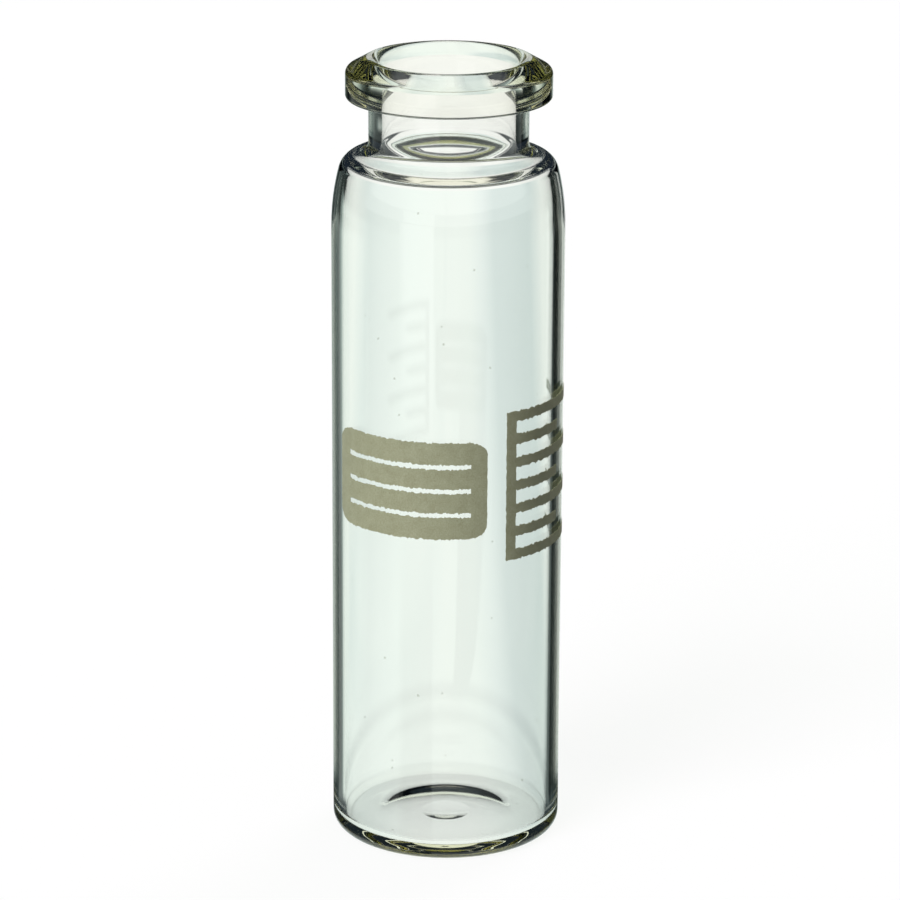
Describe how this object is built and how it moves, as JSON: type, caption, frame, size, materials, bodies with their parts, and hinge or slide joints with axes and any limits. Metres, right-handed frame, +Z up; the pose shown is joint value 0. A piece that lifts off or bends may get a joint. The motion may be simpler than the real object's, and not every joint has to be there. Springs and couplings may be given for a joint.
{
  "type": "glass sample vial",
  "caption": "Clear glass sample vial with a bevelled crimp flange on a narrow neck, a pushed-up bottom, and a printed write-on patch and fill scale.",
  "frame": {"origin": "centre of the bottom, on the surface that the vial stands on", "axes": "+Z up along the vial's axis, -Y towards the printed front"},
  "size_m": [0.0224, 0.0224, 0.0775],
  "materials": {
    "clear_glass": "polished, fire-smooth",
    "fired_ink": "satin fired ink"
  },
  "bodies": {
    "root": {"vial": "clear_glass", "write_on_patch": "fired_ink", "fill_scale": "fired_ink"}
  },
  "joints": []
}
